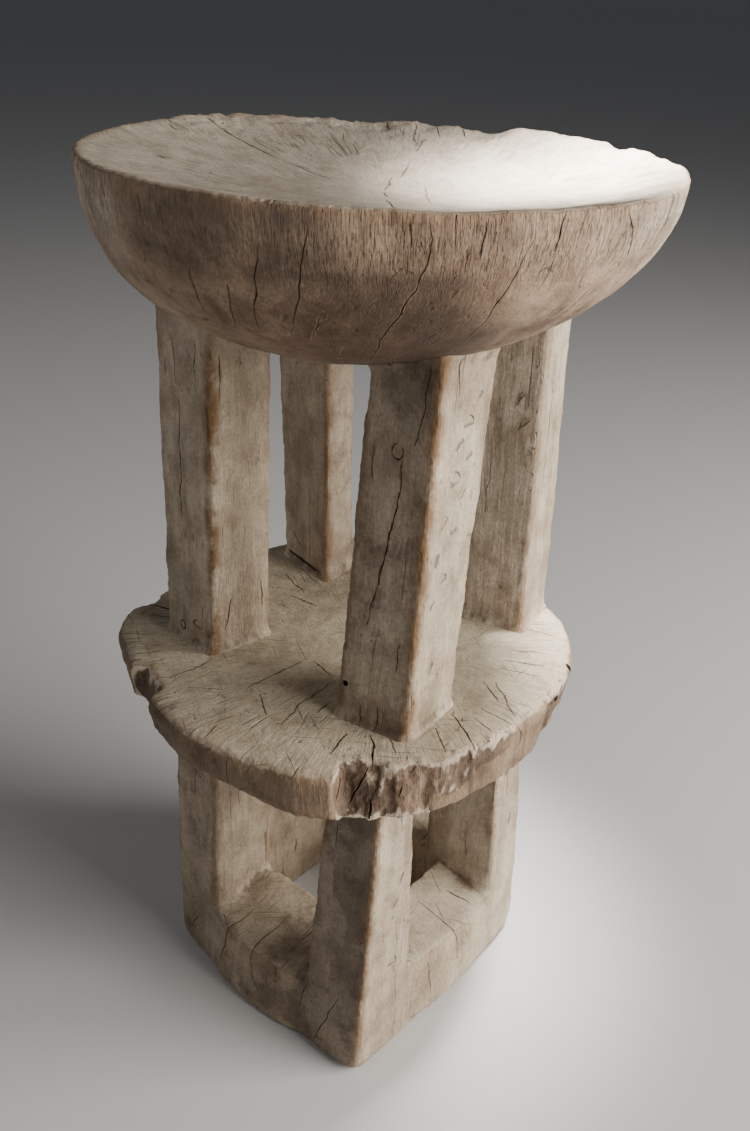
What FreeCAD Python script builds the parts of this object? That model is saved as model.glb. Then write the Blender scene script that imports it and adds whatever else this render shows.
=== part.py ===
import FreeCAD
import Part
import math
import os

# Two-tier stool carved by hand from one log: dished round seat, four leaning upper legs,
# a round middle disc, four lower legs that run down to the ground and a square foot ring.
# Millimetres, Z up, ground at zero, origin under the middle of the seat rim.
# The front left corner of the foot is the one at minus X and minus Y.

# Seat: a thick bowl that hangs a little off the axis of the column below it
SEAT_RADIUS = 130.4
RIM_HEIGHT = 458.5
BOWL_DEPTH = 83.0
BOWL_BULGE = 1.84
BOWL_ROUND = 2.25
BOWL_SHIFT_X = -3.0
BOWL_SHIFT_Y = -7.5
BELLY_END = 0.985
COLLAR = 12.0
DISH_DEPTH = 18.0
RIM_WIDTH = 3.0
RIM_ROUND = 4.0
RIM_TILT = 1.75
RIM_HIGH_SIDE = -120.0

# Middle disc: slightly squarish, with its corners out over the legs
DISC_X = -9.0
DISC_Y = -8.5
DISC_RADIUS = 117.0
DISC_LOBE = 2.5
DISC_TURN = 42.0
DISC_TOP = 212.5
DISC_THICK = 22.0
DISC_ROUND = 4.0

# Heights of the legs
DISC_UNDER = DISC_TOP - DISC_THICK
HEAD_HEIGHT = 385.0
LEG_OVERRUN = 425.0
LEG_EDGE = 4.0

# Foot ring: outer corners are worn round near the ground, and all lower edges are rubbed off
WEAR_HEIGHT = 40.0
FOOT_CORNER = 14.0
FOOT_EDGE = 4.0
INNER_EDGE = 1.5
RAIL_OUTER = 43.0
RAIL_INNER = 48.0
RAIL_EDGE = 3.0
RAIL_LEAN = 1.5
LEFT_RAIL_RISE = 36.0
LEFT_RAIL_LEAN = 4.5

# Plan corners of each leg at its foot and at its head, walking round from the front left corner
UPPER_LEGS = {
    "upper_leg_front_left": (
        [(-84, -69), (-47, -71), (-41, -35), (-77, -33)],
        [(-83, -65), (-37, -70), (-38, -31), (-81, -29)],
    ),
    "upper_leg_front_right": (
        [(33, -65), (74, -58), (70, -18), (29, -25)],
        [(33, -49), (74, -44), (73, -4), (32, -9)],
    ),
    "upper_leg_back_right": (
        [(21, 50), (56, 58), (49, 92), (14, 84)],
        [(20, 52), (55, 60), (48, 91), (13, 83)],
    ),
    "upper_leg_back_left": (
        [(-101, 34), (-58, 26), (-62, 52), (-95, 60)],
        [(-101, 32), (-56, 26), (-60, 51), (-93, 57)],
    ),
}
LOWER_LEGS = {
    "lower_leg_front_left": (
        [(-80, -81), (-43, -85), (-43, -39), (-79, -39)],
        [(-71, -76), (-40, -76), (-40, -34), (-71, -34)],
    ),
    "lower_leg_front_right": (
        [(24, -85), (66, -82), (69, -37), (24, -37)],
        [(33, -68), (70, -68), (70, -45), (33, -45)],
    ),
    "lower_leg_back_right": (
        [(17, 35), (69, 35), (66, 69), (17, 72)],
        [(17, 37), (62, 37), (61, 64), (17, 64)],
    ),
    "lower_leg_back_left": (
        [(-79, 34), (-42, 34), (-42, 72), (-79, 69)],
        [(-75, 31), (-41, 31), (-41, 63), (-75, 63)],
    ),
}

# The foot as a whole, and the square well that runs through it
FOOT_LEFT = -79.0
FOOT_RIGHT = 69.0
FOOT_FRONT = -85.0
FOOT_BACK = 72.0
FOOT_BULGE = 4.0
WELL_LEFT = -58.0
WELL_RIGHT = 28.0
WELL_FRONT = -37.0
WELL_BACK = 39.0


def save(shape, name):
    os.makedirs("parts", exist_ok=True)
    shape.exportStep("parts/" + name + ".step")


def rounded_quad(corners, z, radii):
    # Four straight sides joined by arcs, one radius for each corner
    vectors = [FreeCAD.Vector(x, y, z) for x, y in corners]
    bends = []
    for i in range(4):
        here = vectors[i]
        back = vectors[i - 1] - here
        ahead = vectors[(i + 1) % 4] - here
        back.normalize()
        ahead.normalize()
        half = math.acos(back.dot(ahead)) / 2
        along = radii[i] / math.tan(half)
        middle = back + ahead
        middle.normalize()
        bulge = here + middle * (radii[i] / math.sin(half) - radii[i])
        bends.append((here + back * along, bulge, here + ahead * along))
    edges = []
    for i in range(4):
        start, bulge, end = bends[i]
        edges.append(Part.Arc(start, bulge, end).toShape())
        edges.append(Part.makeLine(end, bends[(i + 1) % 4][0]))
    return Part.Wire(edges)


def corners_at(foot, head, share):
    return [(a[0] + (b[0] - a[0]) * share, a[1] + (b[1] - a[1]) * share) for a, b in zip(foot, head)]


# Seat: the bowl's outside runs through rings that drift towards the column as they get smaller
rings = []
for step in range(10):
    share = BELLY_END * (1.0 - (1.0 - step / 9.0) ** 1.5)
    radius = SEAT_RADIUS * (1.0 - share ** BOWL_BULGE) ** (1.0 / BOWL_ROUND)
    middle = FreeCAD.Vector(BOWL_SHIFT_X * share, BOWL_SHIFT_Y * share, RIM_HEIGHT - BOWL_DEPTH * share)
    rings.append(Part.Wire([Part.makeCircle(radius, middle)]))
collar = Part.makeCylinder(SEAT_RADIUS, COLLAR, FreeCAD.Vector(0, 0, RIM_HEIGHT))
seat_body = Part.makeLoft(rings, True, False).fuse(collar)

# The dish and the worn round of the rim are cut together, tilted towards the low side
lip = SEAT_RADIUS - RIM_WIDTH
bend = math.radians(38.0)
turn = math.radians(76.0)
over = (lip + RIM_ROUND * math.sin(turn), -RIM_ROUND * (1.0 - math.cos(turn)))
dish_arc = Part.Arc(
    FreeCAD.Vector(0, 0, -DISH_DEPTH),
    FreeCAD.Vector(lip * 0.5, 0, -DISH_DEPTH * 0.75),
    FreeCAD.Vector(lip, 0, 0),
)
lip_arc = Part.Arc(
    FreeCAD.Vector(lip, 0, 0),
    FreeCAD.Vector(lip + RIM_ROUND * math.sin(bend), 0, -RIM_ROUND * (1.0 - math.cos(bend))),
    FreeCAD.Vector(over[0], 0, over[1]),
)
frame = Part.makePolygon([
    FreeCAD.Vector(over[0], 0, over[1]),
    FreeCAD.Vector(over[0] + 30.0, 0, over[1]),
    FreeCAD.Vector(over[0] + 30.0, 0, 60.0),
    FreeCAD.Vector(0, 0, 60.0),
    FreeCAD.Vector(0, 0, -DISH_DEPTH),
])
profile = Part.Wire([dish_arc.toShape(), lip_arc.toShape()] + frame.Edges)
rim_tool = Part.Face(profile).revolve(FreeCAD.Vector(0, 0, 0), FreeCAD.Vector(0, 0, 1), 360)
if rim_tool.Volume < 0:
    rim_tool.reverse()
tilt_axis = math.radians(RIM_HIGH_SIDE + 90.0)
tilt_vector = FreeCAD.Vector(math.cos(tilt_axis), math.sin(tilt_axis), 0)
rim_tool.rotate(FreeCAD.Vector(0, 0, 0), tilt_vector, -RIM_TILT)
rim_tool.translate(FreeCAD.Vector(0, 0, RIM_HEIGHT))
seat = seat_body.cut(rim_tool)
save(seat, "seat_bowl")

# Middle disc: an uneven round plate with worn edges
outline_points = []
for step in range(24):
    angle = math.radians(15.0 * step)
    radius = DISC_RADIUS + DISC_LOBE * math.cos(4.0 * (angle - math.radians(DISC_TURN)))
    x = DISC_X + radius * math.cos(angle)
    y = DISC_Y + radius * math.sin(angle)
    outline_points.append(FreeCAD.Vector(x, y, DISC_UNDER))
outline = Part.BSplineCurve()
outline.interpolate(outline_points, PeriodicFlag=True)
disc = Part.Face(Part.Wire([outline.toShape()])).extrude(FreeCAD.Vector(0, 0, DISC_THICK))
rims = [edge for edge in disc.Edges if abs(edge.BoundBox.ZMax - edge.BoundBox.ZMin) < 0.01]
disc = disc.makeFillet(DISC_ROUND, rims)

# A chunk has split off the front edge over the front right leg
bite = Part.makeBox(38, 30, 60)
bite.translate(FreeCAD.Vector(-19, -30, -30))
bite.rotate(FreeCAD.Vector(0, 0, 0), FreeCAD.Vector(1, 0, 0), 18)
bite.rotate(FreeCAD.Vector(0, 0, 0), FreeCAD.Vector(0, 0, 1), 42)
bite.translate(FreeCAD.Vector(67, -92, DISC_UNDER + 4))
disc = disc.cut(bite)
# A smaller notch is broken from the left edge
notch = Part.makeCylinder(16, 60, FreeCAD.Vector(0, 0, -30), FreeCAD.Vector(0, 0, 1))
notch.rotate(FreeCAD.Vector(0, 0, 0), FreeCAD.Vector(0.866, -0.5, 0), 14)
notch.translate(FreeCAD.Vector(-71.5, -116.5, DISC_UNDER))
disc = disc.cut(notch)
save(disc, "middle_disc")

# Upper legs: tapered, leaning posts, their heads cut to the underside of the bowl
for name, (foot, head) in UPPER_LEGS.items():
    reach = (LEG_OVERRUN - DISC_TOP) / (HEAD_HEIGHT - DISC_TOP)
    low = rounded_quad(foot, DISC_TOP, [LEG_EDGE] * 4)
    high = rounded_quad(corners_at(foot, head, reach), LEG_OVERRUN, [LEG_EDGE] * 4)
    leg = Part.makeLoft([low, high], True, True)
    save(leg.cut(seat_body), name)


def pulled_in(corners, outer, inset):
    # Moves the two outer sides of a leg towards the middle of the foot
    ox, oy = corners[outer]
    moved = []
    for x, y in corners:
        if abs(x - ox) < 6.0:
            x = x - math.copysign(inset, ox)
        if abs(y - oy) < 6.0:
            y = y - math.copysign(inset, oy)
        moved.append((x, y))
    return moved


# The rubbed lower edge as three steps of a quarter round: height above ground and inset
NIB = FOOT_EDGE * (1.0 - math.sqrt(0.5))
RUBBED = [(0.0, FOOT_EDGE), (NIB, NIB), (FOOT_EDGE, 0.0)]

# Lower legs: posts from the ground to the disc, their outer corners worn round at the foot
for outer, (name, (foot, head)) in enumerate(LOWER_LEGS.items()):
    sections = []
    for height, inset in RUBBED:
        radii = [INNER_EDGE] * 4
        radii[outer] = FOOT_CORNER - inset
        corners = corners_at(foot, head, height / DISC_UNDER)
        sections.append(rounded_quad(pulled_in(corners, outer, inset), height, radii))
    radii = [INNER_EDGE] * 4
    radii[outer] = LEG_EDGE
    sections.append(rounded_quad(corners_at(foot, head, WEAR_HEIGHT / DISC_UNDER), WEAR_HEIGHT, radii))
    sections.append(rounded_quad(head, DISC_UNDER, [LEG_EDGE] * 4))
    save(Part.makeLoft(sections, True, True), name)


def side_at(name, corner, axis, z):
    # Where a leg's side plane stands at height z, read along X (axis 0) or Y (axis 1)
    foot, head = LOWER_LEGS[name]
    start = foot[corner][axis]
    return start + (head[corner][axis] - start) * z / DISC_UNDER


def rail(name, axis, outside, inside, start_leg, start_corner, end_leg, end_corner, rise=0.0, slope=RAIL_LEAN):
    # A bar between two legs along the axis: bulging outside, its top rising towards the well
    toward = math.copysign(1.0, inside - outside)
    sections = []
    for share in (0.0, 0.5, 1.0):
        bulge = FOOT_BULGE * 4.0 * share * (1.0 - share)
        edge = outside - toward * bulge
        lean = edge + toward * slope
        outline = [(edge + toward * inset, height) for height, inset in RUBBED]
        outline.append((lean, RAIL_OUTER + rise - RAIL_EDGE))
        outline.append((lean + toward * RAIL_EDGE, RAIL_OUTER + rise))
        outline.append((inside - toward * RAIL_EDGE, RAIL_INNER + rise))
        outline.append((inside, RAIL_INNER + rise - RAIL_EDGE))
        outline.append((inside, 0.0))
        points = []
        for across, z in outline + outline[:1]:
            start = side_at(start_leg, start_corner, axis, z)
            end = side_at(end_leg, end_corner, axis, z)
            along = start + (end - start) * share
            if axis == 0:
                points.append(FreeCAD.Vector(along, across, z))
            else:
                points.append(FreeCAD.Vector(across, along, z))
        sections.append(Part.makePolygon(points))
    save(Part.makeLoft(sections, True, False), name)


# Rails of the foot ring, each between two neighbouring legs
rail("base_rail_front", 0, FOOT_FRONT, WELL_FRONT, "lower_leg_front_left", 1, "lower_leg_front_right", 0)
rail("base_rail_right", 1, FOOT_RIGHT, WELL_RIGHT, "lower_leg_front_right", 2, "lower_leg_back_right", 1)
rail("base_rail_back", 0, FOOT_BACK, WELL_BACK, "lower_leg_back_left", 2, "lower_leg_back_right", 3)
# The left one was left standing nearly twice as high as the others
rail(
    "base_rail_left", 1, FOOT_LEFT, WELL_LEFT, "lower_leg_front_left", 3, "lower_leg_back_left", 0,
    LEFT_RAIL_RISE, LEFT_RAIL_LEAN,
)
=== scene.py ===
import math

import bmesh
import bpy
import numpy as np
from mathutils import Matrix, Vector, geometry, noise


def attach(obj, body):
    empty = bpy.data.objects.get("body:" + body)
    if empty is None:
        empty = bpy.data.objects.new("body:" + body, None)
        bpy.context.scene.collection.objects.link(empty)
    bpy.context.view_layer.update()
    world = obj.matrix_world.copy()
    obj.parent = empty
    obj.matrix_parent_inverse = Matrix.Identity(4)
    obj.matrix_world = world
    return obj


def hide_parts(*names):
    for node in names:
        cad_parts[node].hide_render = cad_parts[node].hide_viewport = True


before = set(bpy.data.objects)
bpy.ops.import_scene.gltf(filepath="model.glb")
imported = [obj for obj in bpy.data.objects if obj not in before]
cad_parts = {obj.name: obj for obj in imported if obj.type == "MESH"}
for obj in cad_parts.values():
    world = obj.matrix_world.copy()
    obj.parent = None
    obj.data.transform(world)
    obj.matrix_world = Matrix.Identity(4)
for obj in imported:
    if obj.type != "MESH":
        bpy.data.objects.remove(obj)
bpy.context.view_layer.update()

# Rails of the foot ring
# Four bars left standing between the legs when the foot of the log was hollowed out, the left one higher.
# Dry grey wood with its grain upright; they run into the legs with no joint, so both are hewn together.
MM = 0.001
RAILS = {
    "front": (
        [(-54, -82.5, 0), (36, -82.5, 0), (30, -37, 0), (-46, -37, 0)],
        [(-54, -80, 42), (36, -80, 42), (30, -38, 48), (-46, -37, 48)],
        (0, -1),
    ),
    "right": (
        [(28, -43, 0), (66.5, -48, 0), (66.5, 46, 0), (28, 41, 0)],
        [(28, -43, 48), (65, -48, 42), (65, 46, 42), (28, 41, 48)],
        (1, 0),
    ),
    "back": (
        [(-46, 39, 0), (21, 39, 0), (28, 69.5, 0), (-53, 69.5, 0)],
        [(-46, 39, 48), (21, 39, 48), (28, 68, 42), (-53, 68, 42)],
        (0, 1),
    ),
    "left": (
        [(-76.5, -48, 0), (-58, -43, 0), (-58, 39, 0), (-76.5, 44, 0)],
        [(-72.5, -48, 78), (-58, -43, 84), (-58, 39, 84), (-72.5, 44, 78)],
        (-1, 0),
    ),
}
RAIL_BULGE = {"front": 7.5, "right": 3.5, "back": 6.5, "left": 6.5}
RAIL_CUTS = 9


def select_points(piece, wanted):
    bpy.ops.mesh.select_mode(type="VERT")
    bpy.ops.mesh.select_all(action="DESELECT")
    shell = bmesh.from_edit_mesh(piece.data)
    for point in shell.verts:
        point.select = wanted(point.co)
    shell.select_flush_mode()
    bmesh.update_edit_mesh(piece.data)


def select_edges(piece, wanted):
    bpy.ops.mesh.select_mode(type="EDGE")
    bpy.ops.mesh.select_all(action="DESELECT")
    shell = bmesh.from_edit_mesh(piece.data)
    for edge in shell.edges:
        edge.select = wanted(edge.verts[0].co, edge.verts[1].co)
    shell.select_flush_mode()
    bmesh.update_edit_mesh(piece.data)


def deselect():
    bpy.ops.object.select_all(action="DESELECT")


def pick(piece):
    # One object alone, selected and active
    deselect()
    piece.select_set(True)
    bpy.context.view_layer.objects.active = piece


def rough_block(name, foot, head):
    # A cube at the member's place, its eight corners pulled to where the carver left them, still in edit mode
    corners = [Vector(corner) * MM for corner in foot + head]
    low = Vector([min(corner[i] for corner in corners) for i in range(3)])
    high = Vector([max(corner[i] for corner in corners) for i in range(3)])
    deselect()
    bpy.ops.mesh.primitive_cube_add(size=1, location=(low + high) / 2, scale=high - low)
    block = bpy.context.active_object
    block.name = name
    bpy.ops.object.transform_apply()
    bpy.ops.object.mode_set(mode="EDIT")
    for i, corner in enumerate(corners):
        x = low.x if i % 4 in (0, 3) else high.x
        y = low.y if i % 4 in (0, 1) else high.y
        start = Vector((x, y, low.z if i < 4 else high.z))
        select_points(block, lambda place: (place - start).length < 1e-6)
        bpy.ops.transform.translate(value=corner - start)
    return block


def work(piece, tool, **settings):
    # One modifier, put on and applied at once
    pick(piece)
    modifier = piece.modifiers.new(tool.lower(), tool)
    for setting, value in settings.items():
        setattr(modifier, setting, value)
    bpy.ops.object.modifier_apply(modifier=modifier.name)


def weigh(piece, name, share):
    # A vertex group whose weight at each point comes from its place in mm
    group = piece.vertex_groups.new(name=name)
    for point in piece.data.vertices:
        weight = share(point.co / MM)
        if weight > 0.001:
            group.add([point.index], min(1.0, weight), "REPLACE")
    return name


def clouds(name, size, depth=2):
    texture = bpy.data.textures.new(name, "CLOUDS")
    texture.noise_scale = size * MM
    texture.noise_depth = depth
    return texture


adze_hollows = clouds("adze_hollows", 48)
blade_dents = clouds("blade_dents", 12)
raised_fibres = clouds("raised_fibres", 2.4)
edge_nicks = clouds("edge_nicks", 3.2)
deselect()
bpy.ops.object.empty_add()
grain_run = bpy.context.active_object
grain_run.name = "grain_run"


def run_grain(length, lean=0):
    # Draw the fibres out along the log, and lean them where a break tore them
    tilt = Matrix.Rotation(math.radians(lean), 4, Vector((1, -1, 0)))
    grain_run.matrix_world = tilt @ Matrix.Diagonal((1, 1, length, 1))
    bpy.context.view_layer.update()


def relieve(piece, texture, relief, middle=0.5, fibrous=False, **more):
    # Push the surface out and in by a texture, drawn out along the grain where it is fibrous
    coords = "GLOBAL"
    if fibrous:
        coords = "OBJECT"
        more["texture_coords_object"] = grain_run
    work(
        piece, "DISPLACE", texture=texture, texture_coords=coords, strength=relief * MM, mid_level=middle,
        **more,
    )


def weather(piece, voxel, rounding, hollows, fibres):
    # Close mesh, rubbed edges, the carver's shallow hollows and the fibres that weather left proud
    work(piece, "REMESH", mode="VOXEL", voxel_size=voxel * MM)
    work(piece, "SMOOTH", factor=0.5, iterations=rounding)
    relieve(piece, adze_hollows, hollows)
    relieve(piece, blade_dents, 0.25 * hollows)
    relieve(piece, raised_fibres, fibres, fibrous=True)


LOG_FIBRE = 9
run_grain(LOG_FIBRE)


def along_line(line, step):
    # Points in mm at even steps along a line of straight runs
    stops = [Vector(stop) for stop in line]
    places = []
    for start, end in zip(stops, stops[1:]):
        count = max(2, round((end - start).length / step))
        places += [start.lerp(end, i / count) for i in range(count)]
    return places + [stops[-1]]


def on_wood(piece, place, inward):
    # The point of the finished surface, in mm, that lies under a measured place
    found, spot, _, _ = piece.ray_cast((place - inward * 14.0) * MM, inward, distance=30 * MM)
    return spot / MM if found else place


def split_blade(piece, line, into, width, depth):
    # A thin wedge along a line on the wood that opens a drying split, closing at both ends
    places = along_line(line, 2.5)
    last = len(places) - 1
    seed = places[0].x + places[0].y
    points = []
    for i, place in enumerate(places):
        inward = (into(place) if callable(into) else Vector(into)).normalized()
        run = places[min(i + 1, last)] - places[max(i - 1, 0)]
        side = run.cross(inward).normalized()
        swell = math.sin(math.pi * (0.03 + 0.94 * i / last)) ** 0.6
        uneven = noise.noise((i * 0.6, seed, 0.0))
        half = 0.2 * width * swell * (1.0 + 0.8 * uneven)
        deep = depth * swell
        mouth = half * (deep + 4.0) / deep
        stray = 1.1 * noise.noise((i * 0.3, seed, 4.0)) + 0.35 * noise.noise((i * 1.1, seed, 8.0))
        place = on_wood(piece, place + side * stray, inward)
        points.append((place - inward * 4.0 + side * mouth) * MM)
        points.append((place - inward * 4.0 - side * mouth) * MM)
        points.append((place + inward * deep) * MM)
    faces = [(0, 1, 2), (3 * last, 3 * last + 2, 3 * last + 1)]
    for i in range(last):
        ring = 3 * i
        for a, b in ((0, 1), (1, 2), (2, 0)):
            faces.append((ring + a, ring + 3 + a, ring + 3 + b, ring + b))
    shell = bpy.data.meshes.new("split")
    shell.from_pydata(points, [], faces)
    blade = bpy.data.objects.new("split", shell)
    bpy.context.scene.collection.objects.link(blade)
    pick(blade)
    bpy.ops.object.mode_set(mode="EDIT")
    bpy.ops.mesh.select_all(action="SELECT")
    bpy.ops.mesh.normals_make_consistent(inside=False)
    bpy.ops.object.mode_set(mode="OBJECT")
    return blade


def put(tree, kind, values=None, links=None, **settings):
    node = tree.nodes.new("ShaderNode" + kind)
    for setting, value in settings.items():
        setattr(node, setting, value)
    for socket, value in (values or {}).items():
        node.inputs[socket].default_value = value
    for socket, source in (links or {}).items():
        tree.links.new(source, node.inputs[socket])
    return node


def fill(tree, socket, value):
    if isinstance(value, bpy.types.NodeSocket):
        tree.links.new(value, socket)
    else:
        socket.default_value = value


def reckon(tree, operation, *terms):
    node = put(tree, "Math", operation=operation)
    for socket, term in zip(node.inputs, terms):
        fill(tree, socket, term)
    return node.outputs[0]


def times(tree, first, second, *more):
    # Two values multiplied, and a third added if it is given
    return reckon(tree, "MULTIPLY_ADD" if more else "MULTIPLY", first, second, *more)


def steer(tree, operation, *terms):
    node = put(tree, "VectorMath", operation=operation)
    for socket, term in zip(node.inputs, terms):
        fill(tree, socket, term)
    return node.outputs[0]


def tint(tree, share, under, over, blend="MIX"):
    # One colour laid over another by a mask
    node = put(tree, "Mix", data_type="RGBA", blend_type=blend)
    for place, value in ((0, share), (6, under), (7, over)):
        fill(tree, node.inputs[place], value)
    return node.outputs[2]


def ramp(tree, value, low, high):
    # Nought below low, one above high, smooth between them; low may be the larger
    node = put(tree, "MapRange", {"From Min": low, "From Max": high}, {"Value": value})
    node.interpolation_type = "SMOOTHSTEP"
    return node.outputs[0]


def stretched(tree, place, scale, detail, roughness=0.5):
    # Noise drawn out along the grain; scale is in features to the metre
    turned = put(tree, "Mapping", {"Scale": scale}, {"Vector": place})
    node = put(
        tree, "TexNoise", {"Scale": 1.0, "Detail": detail, "Roughness": roughness},
        {"Vector": turned.outputs[0]},
    )
    return node.outputs["Fac"]


def new_group(name, inputs, outputs):
    tree = bpy.data.node_groups.new(name, "ShaderNodeTree")
    for label, kind in inputs:
        tree.interface.new_socket(label, in_out="INPUT", socket_type=kind)
    for label in outputs:
        tree.interface.new_socket(label, in_out="OUTPUT", socket_type="NodeSocketFloat")
    return tree, tree.nodes.new("NodeGroupInput"), tree.nodes.new("NodeGroupOutput")


def give(tree, there, **values):
    # Link what a group has worked out to its outputs
    for label, value in values.items():
        tree.links.new(value, there.inputs[label])


# Grain that stands upright through the whole log, with hairline checks that follow it
grain, here, there = new_group(
    "upright_grain", [("Place", "NodeSocketVector")], ["Fibre", "Streak", "Band", "Hairline", "Nick"]
)
place = here.outputs["Place"]
sway = put(grain, "TexNoise", {"Scale": 9.0, "Detail": 1.0}, {"Vector": place})
shift = steer(grain, "SUBTRACT", sway.outputs["Color"], (0.5, 0.5, 0.5))
swayed = steer(grain, "ADD", place, steer(grain, "MULTIPLY", shift, (0.007, 0.007, 0.0)))
crease = reckon(grain, "SUBTRACT", stretched(grain, swayed, (130, 130, 0.5), 0.0), 0.5)
crease = ramp(grain, reckon(grain, "ABSOLUTE", crease), 0.018, 0.004)
patchy = ramp(grain, stretched(grain, swayed, (80, 80, 20), 2.0), 0.58, 0.68)
outward = steer(grain, "NORMALIZE", steer(grain, "MULTIPLY", place, (1, 1, 0)))
upright = steer(grain, "MULTIPLY", place, (0, 0, 1))
round_log = steer(grain, "MULTIPLY_ADD", outward, (0.13, 0.13, 0), upright)
give(
    grain, there,
    Fibre=stretched(grain, swayed, (950, 950, 60), 3.0, 0.65),
    Nick=stretched(grain, round_log, (1400, 1400, 170), 2.0, 0.6),
    Streak=stretched(grain, swayed, (260, 260, 16), 4.0, 0.6),
    Band=stretched(grain, swayed, (38, 38, 7), 3.0),
    Hairline=times(grain, crease, patchy),
)

# End grain, where the log was cut across: rays and checks that run out from the pith, and knife cuts
PITH = (14 * MM, -6 * MM, 0)
ends, here, there = new_group("end_grain", [("Place", "NodeSocketVector")], ["Ray", "Check", "Cut"])
place = here.outputs["Place"]
across = steer(ends, "MULTIPLY", steer(ends, "SUBTRACT", place, PITH), (1, 1, 0))
away = put(ends, "VectorMath", None, {0: across}, operation="LENGTH").outputs["Value"]
toward = steer(ends, "NORMALIZE", across)
lift = put(ends, "CombineXYZ", None, {"Z": away}).outputs[0]


def fan(spokes, breaks, detail):
    # Noise that runs out from the pith like spokes, broken along its length
    drawn = steer(ends, "MULTIPLY", lift, (breaks, breaks, breaks))
    mixed = steer(ends, "MULTIPLY_ADD", toward, (spokes, spokes, spokes), drawn)
    node = put(ends, "TexNoise", {"Scale": 1.0, "Detail": detail}, {"Vector": mixed})
    return node.outputs["Fac"]


gape = reckon(ends, "ABSOLUTE", reckon(ends, "SUBTRACT", fan(17.0, 16.0, 1.0), 0.5))
gape = times(ends, gape, reckon(ends, "MAXIMUM", away, 0.02))
gape = ramp(ends, gape, 0.0028, 0.0006)
some = ramp(ends, stretched(ends, place, (34, 34, 8), 2.0), 0.53, 0.62)
some = times(ends, some, ramp(ends, away, 0.045, 0.1))
knife = None
for turn, seed in ((0.5, 0.3), (1.5, 0.9), (2.5, 1.7)):
    slant = put(
        ends, "Mapping", {"Rotation": (0, 0, turn), "Location": (seed, seed, 0)}, {"Vector": place},
    ).outputs[0]
    stroke = ramp(ends, stretched(ends, slant, (30, 820, 8), 1.0), 0.7, 0.76)
    knife = stroke if knife is None else reckon(ends, "MAXIMUM", knife, stroke)
give(
    ends, there,
    Ray=fan(80.0, 110.0, 5.0),
    Check=times(ends, gape, some),
    Cut=knife,
)

# Blotches of old dirt and damp, and the dark specks and pits of weathering
stains, here, there = new_group(
    "weather_stains", [("Place", "NodeSocketVector"), ("Reach", "NodeSocketFloat")],
    ["Blotch", "Speck", "Mottle", "Grit", "Smudge"],
)
place = here.outputs["Place"]
cloud = put(
    stains, "TexNoise", {"Scale": 15.0, "Detail": 7.0, "Roughness": 0.62, "Distortion": 0.4},
    {"Vector": place},
)
spread = reckon(stains, "ADD", cloud.outputs["Fac"], here.outputs["Reach"])
spots = ramp(stains, stretched(stains, place, (300, 300, 170), 2.0), 0.63, 0.71)
where = ramp(stains, stretched(stains, place, (26, 26, 20), 3.0), 0.5, 0.62)
smear = stretched(stains, place, (34, 34, 40), 8.0, 0.74)
give(
    stains, there,
    Smudge=ramp(stains, smear, 0.46, 0.64),
    Blotch=ramp(stains, spread, 0.52, 0.76),
    Speck=times(stains, spots, where),
    Mottle=stretched(stains, place, (70, 70, 48), 6.0, 0.68),
    Grit=stretched(stains, place, (900, 900, 600), 2.0),
)

# Edges rubbed down to honey brown, and darker wood in the hollows
edges, here, there = new_group(
    "rubbed_edges", [("Wear", "NodeSocketFloat"), ("Place", "NodeSocketVector")], ["Proud", "Hollow"]
)
place = here.outputs["Place"]
ragged = stretched(edges, place, (110, 110, 40), 5.0, 0.65)
ragged = times(edges, reckon(edges, "SUBTRACT", ragged, 0.5), 0.8)
level = reckon(edges, "ADD", here.outputs["Wear"], ragged)
stretches = ramp(edges, stretched(edges, place, (17, 17, 13), 3.0, 0.6), 0.4, 0.6)
stretches = times(edges, stretches, 0.3, 0.7)
bare = times(edges, ramp(edges, level, 0.62, 0.82), stretches)
give(
    edges, there,
    Proud=bare,
    Hollow=ramp(edges, level, 0.36, 0.12),
)


def use_group(tree, group, **links):
    node = tree.nodes.new("ShaderNodeGroup")
    node.node_tree = group
    for socket, value in links.items():
        fill(tree, node.inputs[socket], value)
    return node.outputs


def colour(red, green, blue):
    # A colour as the eye reads it, 0 to 255, as linear light
    return tuple((c / 255) ** 2.2 for c in (red, green, blue)) + (1.0,)


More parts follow.
